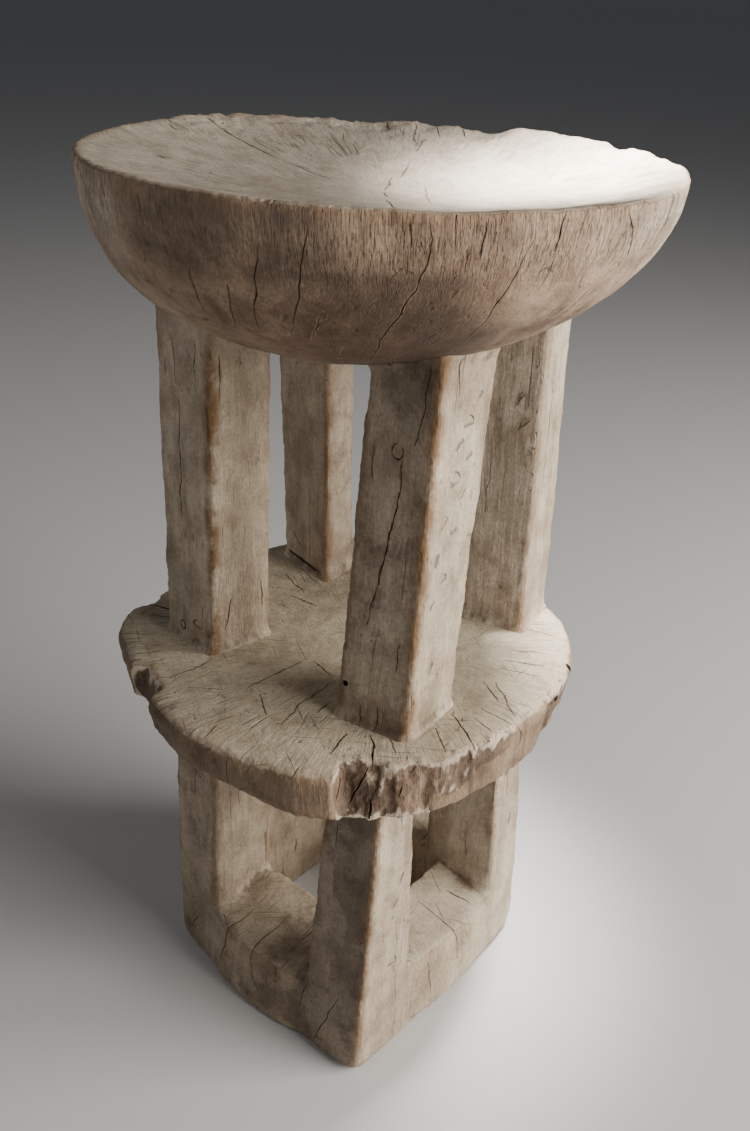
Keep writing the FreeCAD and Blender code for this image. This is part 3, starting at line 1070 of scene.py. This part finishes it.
def beetle_hole(piece, place, outward, radius=1.7):
    outward = Vector(outward).normalized()
    place = on_wood(piece, Vector(place), -outward)
    deselect()
    bpy.ops.mesh.primitive_cylinder_add(vertices=16, radius=radius * MM, depth=14 * MM)
    return stand_on(place, outward)


cut_away(disc, [beetle_hole(disc, *hole) for hole in DISC_HOLES], split_painted_shade)
stand_for(disc, "middle_disc")

# Upper legs
# Four leaning square posts between the disc and the seat, split along the grain as the log dried.
# Their edges are rubbed to honey brown, and the hewn faces keep the marks of the blade.
UPPER_LEGS = {
    "front_left": (
        [(-84, -69), (-47, -71), (-41, -35), (-77, -33)],
        [(-83, -65), (-37, -70), (-38, -31), (-81, -29)],
    ),
    "front_right": (
        [(35.5, -64.6), (74, -58), (70, -18), (31.5, -25)],
        [(38, -48.4), (74, -44), (73, -4), (37, -9)],
    ),
    "back_right": (
        [(21, 50), (56, 58), (49, 92), (14, 84)],
        [(20, 52), (55, 60), (48, 91), (13, 83)],
    ),
    "back_left": (
        [(-101, 34), (-58, 26), (-62, 52), (-95, 60)],
        [(-101, 32), (-56, 26), (-60, 51), (-93, 57)],
    ),
}
BROWN_ARRIS = {
    "front_left": (6.5, 1.0), "front_right": (5.8, 0.85), "back_right": (3.6, 0.4), "back_left": (5.4, 0.7),
}
HEAD_HEIGHT = 385.0
SEAT_RADIUS = 130.4
RIM_HEIGHT = 458.5
BOWL_DEPTH = 83.0
BOWL_BULGE = 1.84
BOWL_ROUND = 2.25
BOWL_SHIFT = (-3.0, -7.5)
HEAD_LET_IN = 7.0
UPPER_SPLITS = {
    "front_left": [
        ([(-65, -68, 346), (-66, -68, 315), (-68, -69, 284)], (0, 1, 0), 1.3, 10),
        ([(-50, -69, 378), (-49, -69, 359)], (0, 1, 0), 1.0, 7),
        ([(-68, -67, 378), (-67, -67, 354)], (0, 1, 0), 0.9, 7),
        ([(-44, -58, 243), (-45, -63, 225)], (-1, 0, 0), 1.4, 7),
        ([(-41, -41, 247), (-41, -40, 231)], (-1, 0, 0), 1.0, 6),
        ([(-38, -65, 374), (-38, -65, 361)], (-1, 0, 0), 1.2, 6),
        ([(-80, -48, 340), (-79, -49, 262)], (1, 0, 0), 1.2, 9),
        ([(-60, -31, 330), (-59, -33, 268)], (0, -1, 0), 1.0, 8),
    ],
    "front_right": [
        ([(68, -44, 390), (67, -46, 372), (64, -49, 354)], (0, 1, 0), 1.0, 8),
        ([(59, -50, 347), (58, -51, 325), (54, -54, 300), (48, -58, 265)], (0, 1, 0), 1.4, 12),
        ([(53, -54, 297), (50, -58, 274)], (0, 1, 0), 0.8, 6),
        ([(44, -51, 352), (45, -52, 333)], (0, 1, 0), 0.8, 6),
        ([(66, -59, 262), (65, -60, 246)], (0, 1, 0), 0.7, 5),
        ([(58, -63, 226), (59, -64, 211)], (0, 1, 0), 1.0, 8),
        ([(49, -63, 224), (50, -65, 211)], (0, 1, 0), 0.8, 6),
        ([(74, -34, 392), (74, -32, 374)], (-1, 0, 0), 1.0, 7),
        ([(48, -13, 340), (47, -16, 280)], (0, -1, 0), 1.0, 8),
        ([(31, -30, 330), (31, -34, 262)], (1, 0, 0), 0.9, 7),
    ],
    "back_right": [
        ([(54, 72, 350), (54, 70, 290)], (-1, 0, 0), 1.0, 8),
        ([(30, 88, 350), (32, 88, 262)], (0, -1, 0), 1.1, 8),
        ([(17, 68, 300), (18, 66, 250)], (1, 0, 0), 0.9, 7),
    ],
    "back_left": [
        ([(-97, 33, 217), (-80, 29.5, 216), (-64, 27.5, 215.5)], (0, 0.9, -0.3), 3.0, 6),
        ([(-92, 31, 231), (-82, 30, 224)], (0, 1, 0), 1.0, 5),
        ([(-78, 54, 350), (-78, 55, 270)], (0, -1, 0), 1.1, 8),
        ([(-97, 46, 330), (-98, 46, 262)], (1, 0, 0), 1.0, 8),
    ],
}
# Place across and height on the right face of the front right leg, the blade's turn, its bite and its radius
RIGHT_FACE_NICKS = [
    (-17, 371, 210, 0.25, 2.6), (-23, 361, 170, 0.3, 3.6), (-29, 352, 230, 0.3, 3.0),
    (-21, 345, 190, 0.2, 2.4), (-31, 337, 200, 0.35, 3.8), (-25, 327, 240, 0.25, 2.8),
    (-36, 318, 180, 0.3, 3.2), (-28, 311, 205, 0.2, 2.2), (-40, 301, 210, 0.3, 3.4),
    (-33, 289, 160, 0.3, 2.7), (-42, 279, 195, 0.2, 2.3), (-40, 244, 230, 0.3, 3.3),
]
UPPER_GOUGES = {
    "front_left": [((-58, -69, 226), (0, -1, 0), 200, 0.12)],
    "front_right": [((73, y, z), (1, 0, 0), *blade) for y, z, *blade in RIGHT_FACE_NICKS],
    "back_right": [((44, 57, 343), (0, -1, 0), 200, 0.1), ((48, 58, 331), (0, -1, 0), 170, 0.1)],
    "back_left": [((-84, 57, 300), (0, 1, 0), 200), ((-76, 56, 258), (0, 1, 0), 150)],
}


def bowl_ring(share):
    # Radius, middle and height of the bowl's outside, from the rim at 0 to the belly's end at 1
    radius = SEAT_RADIUS * (1 - share ** BOWL_BULGE) ** (1 / BOWL_ROUND)
    return radius, BOWL_SHIFT[0] * share, BOWL_SHIFT[1] * share, RIM_HEIGHT - BOWL_DEPTH * share


def belly_height(x, y):
    # Where the underside of the bowl stands over a point of the plan
    low, high = 0.0, 0.99
    for _ in range(30):
        share = (low + high) / 2
        radius, mid_x, mid_y, height = bowl_ring(share)
        if math.hypot(x - mid_x, y - mid_y) < radius:
            low = share
        else:
            high = share
    return height


def under_bowl(place):
    # How far a place on a leg lies under the bowl
    return belly_height(place[0], place[1]) - place[2] if place[2] > 350 else 99


def knot_ring(piece, place, outward, radius):
    # The seam round a small knot
    outward = Vector(outward)
    place = on_wood(piece, Vector(place), -outward)
    deselect()
    bpy.ops.mesh.primitive_torus_add(
        major_radius=radius * MM, minor_radius=0.36 * MM, major_segments=28, minor_segments=8,
    )
    return stand_on(place, outward, Matrix.Diagonal((0.92, 1.1, 1, 1)))


for corner, (foot, head) in UPPER_LEGS.items():
    low = []
    high = []
    for start, end in zip(foot, head):
        start = Vector((*start, DISC_TOP))
        end = Vector((*end, HEAD_HEIGHT))
        low.append(start.lerp(end, -LET_IN / (HEAD_HEIGHT - DISC_TOP)))
        top = belly_height(end.x, end.y) + HEAD_LET_IN
        high.append(start.lerp(end, (top - DISC_TOP) / (HEAD_HEIGHT - DISC_TOP)))
    leg = rough_block("carved_upper_leg_" + corner, low, high)
    select_edges(leg, lambda a, b: abs(a.z - b.z) > 0.1)
    bpy.ops.mesh.bevel(offset=LEG_EDGE * MM, segments=2, affect="EDGES")
    bpy.ops.object.mode_set(mode="OBJECT")
    weather(leg, voxel=1.0, rounding=6, hollows=3.0, fibres=0.4)
    flare(leg, lambda place: place[2] - DISC_TOP, reach=6, spread=2.0)
    flare(leg, under_bowl, reach=6, spread=1.6)
    leg.data.materials.append(leg_wood)
    note_wear(leg)
    darken_joint(leg, lambda place: 0.36 * max(fade(place.z, DISC_TOP + 6, DISC_TOP), fade(under_bowl(place), 5, 0)))
    stain_arris(leg, low[1], high[1], *BROWN_ARRIS[corner])
    open_splits(leg, UPPER_SPLITS[corner])
    cut_away(leg, [gouge(leg, *dent) for dent in UPPER_GOUGES[corner]], leg_wood)
    if corner == "back_right":
        # Painted light on the front of the back right leg, where light thrown back from the disc falls
        mark(leg, "bleach_and_painted_light", lambda place, normal: 0.9 * fade(-normal.y, 0.3, 0.8))
    if corner == "back_left":
        # Darker on the right face of the back left leg
        mark(leg, "grime_and_painted_shade", lambda place, normal: 0.8 * fade(normal.x, 0.3, 0.8))
    if corner == "front_right":
        # Darker on the front face of the front right leg: partly dirt, partly painted shade where it turns
        # away from the light
        mark(leg, "grime_and_painted_shade", lambda place, normal: 0.8 * fade(-normal.y, 0.3, 0.8))
        cut_away(leg, [beetle_hole(leg, (40, -63, 232), (0, -1, 0), 1.5)], split_painted_shade)
        cut_away(leg, [knot_ring(leg, (56, -49, 350), (0, -1, 0), 3.2)], torn_wood)
    if corner == "front_left":
        cut_away(leg, [knot_ring(leg, (-70, -69, 221), (0, -1, 0), 2.2)], torn_wood)
    stand_for(leg, "upper_leg_" + corner)

# Seat
# A thick bowl with a shallow dish, end grain on top, turned up out of the log and worn at the rim.
# Long splits run down its side from the rim, and its edge is frayed where the fibres were cut across.
DISH_DEPTH = 18.0
RIM_WIDTH = 2.2
RIM_ROUND = 2.2
RIM_TILT = 1.75
RIM_HIGH_SIDE = -120.0
SEAT_SIDES = 200
RIM_WAVES = [
    (14, 0), (26, 1.4), (38, 2.0), (45, 1.2), (53, 0.3), (60, 1.0), (68, 0.3), (80, 1.0), (90, 1.2),
    (97, 0.5), (101, -1.8), (105, -4.5), (110, -2.9), (117, -2.2), (125, -1.0), (131, -2.8),
    (140, -2.4), (150, -1.4), (158, -0.4), (163, 0.9), (180, 1.4), (200, 0.3), (215, 0),
]
BELLY_SWELL = 3.2
ACROSS = Vector((0.752, 0.659, 0))
SEAT_FIBRE = 4.0
SPLIT_SHARE = 0.72
BOWL_SPLITS = [
    ([(-81.5, 432), (-83, 414)], 1.2, 6),
    ([(-74, 428), (-75, 420), (-77, 408)], 1.2, 7),
    ([(-67, 446), (-69, 428), (-71.5, 408)], 1.3, 9),
    ([(-59.5, 455), (-59.5, 446), (-60.5, 433), (-61.5, 422), (-64.5, 407)], 1.5, 11),
    ([(-57, 421), (-60, 406)], 1.2, 8),
    (
        [
            (-41.5, 457), (-40.5, 450), (-40.5, 441), (-41.5, 433),
            (-43, 421), (-45, 412), (-46, 401), (-47, 390),
        ],
        1.7, 13,
    ),
    ([(-44, 455), (-43.5, 447)], 1.1, 7),
    ([(-32.5, 455), (-32, 442)], 1.1, 7),
    ([(-24, 448), (-25, 438), (-25.5, 427), (-26.5, 412), (-27, 399)], 1.4, 11),
    ([(-19, 457), (-19.5, 452), (-19, 443)], 1.5, 8),
    ([(-5, 424), (-6, 411)], 0.9, 6),
    ([(-54, 403), (-55, 390)], 1.0, 7),
    ([(-90.5, 456), (-90, 450)], 1.2, 6),
    ([(-101, 457), (-100.5, 452)], 2.0, 6),
    ([(-5.5, 456), (-2.5, 447), (0.5, 435)], 1.5, 7),
    ([(12, 455), (10, 441)], 1.5, 6),
    ([(24, 450), (18, 438)], 1.4, 6),
    ([(34, 440), (28, 424)], 1.3, 7),
    ([(52, 440), (49, 408)], 1.0, 7),
    ([(78, 456), (80, 436), (84, 412)], 1.4, 10),
    ([(112, 448), (115, 418)], 1.1, 8),
    ([(140, 455), (138, 430), (134, 404)], 1.3, 10),
    ([(168, 438), (171, 408)], 1.0, 7),
    ([(203, 455), (200, 430), (198, 411)], 1.3, 10),
    ([(229, 444), (232, 420)], 1.0, 7),
]
DISH_SPLITS = [
    ([(-122, 7, 458), (-96, 6, 450), (-72, 4.5, 446)], 1.2, 7),
    ([(-66, 4, 444), (-48, 3, 442), (-33, 3, 441)], 0.6, 4),
    ([(28, -23, 442), (12, -10, 441)], 1.1, 5),
    ([(6, -2, 440), (-2, 4, 440)], 1.3, 5),
    ([(-5, 8, 440), (-12, 19, 441), (-22, 32, 442)], 0.8, 5),
    ([(-20, 36, 442), (-26, 47, 443), (-30, 54, 444)], 0.8, 5),
    ([(-41, 73, 447), (-49, 87, 450), (-51, 91, 451)], 0.8, 5),
    ([(1, 29, 441), (16, 12, 440), (30, -1, 441)], 0.5, 4),
    ([(-67, 103, 455), (-57, 90, 451), (-50, 82, 449)], 0.8, 5),
    ([(-62, 113, 457), (-54, 105, 453), (-46, 97, 451)], 0.9, 6),
    ([(-47, 118, 456), (-38, 107, 452)], 0.9, 5),
    ([(-82, 96, 456), (-73, 88, 453)], 0.7, 5),
    ([(-26, 117, 454), (-22, 104, 450)], 0.7, 5),
]

rings = [bowl_ring(0.985 * (1 - i / 22)) for i in range(21)]
lip = SEAT_RADIUS - RIM_WIDTH
for bend in (76, 52, 26):
    tip = math.radians(bend)
    rings.append((lip + RIM_ROUND * math.sin(tip), 0, 0, RIM_HEIGHT - RIM_ROUND * (1 - math.cos(tip))))
for i in range(13):
    radius = lip * (1 - i / 12.3)
    rings.append((radius, 0, 0, RIM_HEIGHT - DISH_DEPTH * (1 - (radius / lip) ** 2)))

deselect()
radius, mid_x, mid_y, height = rings[0]
bpy.ops.mesh.primitive_circle_add(
    vertices=SEAT_SIDES, radius=radius * MM, fill_type="NGON",
    location=(mid_x * MM, mid_y * MM, height * MM),
)
seat = bpy.context.active_object
seat.name = "carved_seat"
bpy.ops.object.transform_apply()
bpy.ops.object.mode_set(mode="EDIT")
bpy.ops.mesh.select_all(action="SELECT")
for before, after in zip(rings, rings[1:]):
    step = [(after[i] - before[i]) * MM for i in (1, 2, 3)]
    bpy.ops.mesh.extrude_region_move(TRANSFORM_OT_translate={"value": step})
    grow = after[0] / before[0]
    middle = [after[i] * MM for i in (1, 2, 3)]
    bpy.ops.transform.resize(value=(grow, grow, 1), center_override=middle)
bpy.ops.mesh.select_all(action="SELECT")
bpy.ops.mesh.normals_make_consistent(inside=False)
bpy.ops.object.mode_set(mode="OBJECT")
rise = math.tan(math.radians(RIM_TILT))
high_side = heading(RIM_HIGH_SIDE)


def turn_of(place):
    return math.degrees(math.atan2(place.y, place.x))


def level_of(place):
    # Height on the bowl as it was before its rim was tilted
    return place.z - rise * place.dot(high_side)


for point in seat.data.vertices:
    share = min(1, max(0, (point.co.z / MM - 405) / 35))
    point.co.z += rise * share * point.co.dot(high_side)
    turn = turn_of(point.co) % 360
    wave = np.interp(turn, *zip(*RIM_WAVES), left=0, right=0)
    point.co.z += wave * MM * fade(point.co.z / MM, 440, 452) * fade(point.co.to_2d().length / MM, 104, 122)
    swell = BELLY_SWELL * fade(point.co.z / MM, 448, 414) * fade(point.co.z / MM, 376, 390)
    point.co += ACROSS * point.co.dot(ACROSS) * swell / SEAT_RADIUS
weather(seat, voxel=1.44, rounding=3, hollows=2.0, fibres=0.14)


def soft_rim(place):
    # Full along the rim where hands have worn it round: all but the front
    turn = turn_of(place)
    front = fade(turn, -120, -108) * fade(turn, 4, -12)
    return (1 - front) * fade(place.z, 444, 450) * fade(place.to_2d().length, 112, 120)


rub_off(seat, soft_rim, rounds=16)


def below_rim(place):
    # Full in the band under the rim where the blade tore the fibres, fading out around it
    turn = turn_of(place)
    level = level_of(place)
    front = fade(turn, -92, -62) * fade(turn, 60, 40)
    left = fade(turn, -94, -102) * fade(turn, -132, -122)
    torn = 0.2 + 0.8 * max(front, left)
    return torn * fade(level, 428, 444) * fade(level, 458.5, 456.5) * fade(place.to_2d().length, 104, 116)


def back_rim(place):
    behind = place.to_2d().dot(Vector((-0.5, 0.86))) / SEAT_RADIUS
    return fade(place.z, 440, 454) * fade(place.to_2d().length, 104, 120) * fade(behind, 0.0, 0.5)


rim_nibbles = clouds("rim_nibbles", 9)
run_grain(SEAT_FIBRE)
weigh(seat, "frayed", below_rim)
relieve(seat, raised_fibres, relief=0.3, middle=0.6, fibrous=True, vertex_group="frayed")
relieve(seat, rim_nibbles, relief=3.4, vertex_group=weigh(seat, "nibbled", back_rim), direction="Z")
seat.vertex_groups.clear()
seat_wood = weathered_wood(
    "seat_wood", pale=(186, 162, 137), grey=(158, 136, 114), brown=(96, 79, 68), honey=(150, 118, 84),
    top_pale=(181, 171, 156), top_grey=(155, 145, 129), scratch=(204, 195, 181), reach=0.03, rub=0.3,
)
seat.data.materials.append(seat_wood)
note_wear(seat)
mark(seat, "fray", lambda place, normal: below_rim(place))


def bowl_dirt_and_shade(place, normal):
    # Dark under the rim in patches, and all over the lower front, darkest towards the bottom: dirt in the
    # patches, dirt and painted shade on the lower front, which turns away from the light
    turn = turn_of(place)
    level = level_of(place)
    lower = fade(level, 446, 433) * fade(turn, 10, -10) * fade(turn, -110, -80)
    front = fade(turn, -68, -53) * fade(turn, -20, -38)
    belly = lower * (0.5 + 1.5 * front + 0.8 * fade(level, 424, 408))
    patch = fade(noise.noise((turn / 4.0, 0.0, 2.0)), -0.1, 0.3) * fade(turn, -76, -66) * fade(turn, -28, -36)
    return (belly + patch * fade(level, 449, 454)) * fade(normal.z, 0.7, 0.4)


def pale_and_lit_ends(place, normal):
    # Bleached at the right hand end, most of all next to the rim, and a little at the left: partly paler
    # wood, partly painted light, a painted highlight at the right where the light spills over the rim and a
    # painted sheen at the left
    turn = turn_of(place)
    right = 0.8 * fade(turn, -16, 24) * fade(turn, 90, 60)
    left = 0.5 * fade(turn, -94, -104) * fade(turn, -140, -126)
    return max(right, left) * fade(place.z, 416, 448) * fade(normal.z, 0.7, 0.4)


mark(seat, "grime_and_painted_shade", bowl_dirt_and_shade)
mark(seat, "bleach_and_painted_light", pale_and_lit_ends)


def bowl_line(line):
    places = []
    for turn, height in line:
        radius, mid_x, mid_y, _ = bowl_ring((RIM_HEIGHT - height) / BOWL_DEPTH)
        turn = math.radians(turn)
        places.append((mid_x + radius * math.cos(turn), mid_y + radius * math.sin(turn), height))
    return places


def to_heart(place):
    return Vector((-place.x, -place.y, 40 * fade(place.z, 440, 380)))


open_splits(
    seat,
    [(bowl_line(line), to_heart, SPLIT_SHARE * width, depth) for line, width, depth in BOWL_SPLITS],
)
for batch in (DISH_SPLITS[::2], DISH_SPLITS[1::2]):
    open_splits(seat, [(line, (0, 0, -1), width, depth) for line, width, depth in batch])
stand_for(seat, "seat_bowl")
bpy.data.objects.remove(grain_run)

# Floor, light and camera
# A pale plain floor, one large soft light from the back right, a weak one from the front left, two small
# weak ones on the far side of the dish, and the camera at the height and angle of the photograph.
EYE = (340.8, -387.3, 534.9)
HEADING = 41.21
LOOK_DOWN = 28.46
ROLL = 1.37
LENS = 36.16

deselect()
bpy.ops.mesh.primitive_plane_add(size=60, location=(0, 0, -0.0005))
floor = bpy.context.active_object
floor.name = "floor"
floor_paint = bpy.data.materials.new("floor_paint")
floor_paint.use_nodes = True
paint = floor_paint.node_tree.nodes["Principled BSDF"]
paint.inputs["Base Color"].default_value = (0.55, 0.545, 0.535, 1)
paint.inputs["Roughness"].default_value = 0.8
floor.data.materials.append(floor_paint)

# Each light's place and target in metres, its size, its power in watts, its colour and its spread in degrees
LIGHTS = {
    "window_light": ((1.13, 0.44, 0.73), (0, 0, 0.3), 1.1, 46, (1.0, 0.97, 0.92), 180),
    "seat_light": ((0.12, 0.16, 0.8), (0.065, 0.09, 0.45), 0.08, 0.65, (1.0, 0.98, 0.96), 28),
    "dish_light": ((-0.2, -0.12, 0.72), (0.08, 0.1, 0.45), 0.08, 0.65, (1.0, 0.98, 0.96), 20),
    "left_fill": ((-1.3, -1.3, 1.0), (0, 0, 0.25), 1.6, 8, (1.0, 0.98, 0.96), 180),
}
for name, (place, target, size, power, hue, spread) in LIGHTS.items():
    lamp = bpy.data.lights.new(name, "AREA")
    lamp.size = size
    lamp.energy = power
    lamp.color = hue
    lamp.spread = math.radians(spread)
    holder = bpy.data.objects.new(name, lamp)
    bpy.context.scene.collection.objects.link(holder)
    holder.location = place
    holder.rotation_euler = (Vector(target) - Vector(place)).to_track_quat("-Z", "Y").to_euler()
world = bpy.data.worlds.new("studio")
bpy.context.scene.world = world
world.use_nodes = True
sky = world.node_tree.nodes["Background"]
sky.inputs["Color"].default_value = (0.9, 0.93, 1.0, 1)
sky.inputs["Strength"].default_value = 0.08

camera = bpy.data.cameras.new("photo_camera")
camera.sensor_width = 36
camera.lens = LENS
eye = bpy.data.objects.new("photo_camera", camera)
bpy.context.scene.collection.objects.link(eye)
turn = Matrix.Rotation(math.radians(HEADING), 4, "Z")
turn = turn @ Matrix.Rotation(math.radians(90 - LOOK_DOWN), 4, "X")
turn = turn @ Matrix.Rotation(math.radians(ROLL), 4, "Z")
eye.matrix_world = Matrix.Translation(Vector(EYE) * MM) @ turn
bpy.context.scene.camera = eye
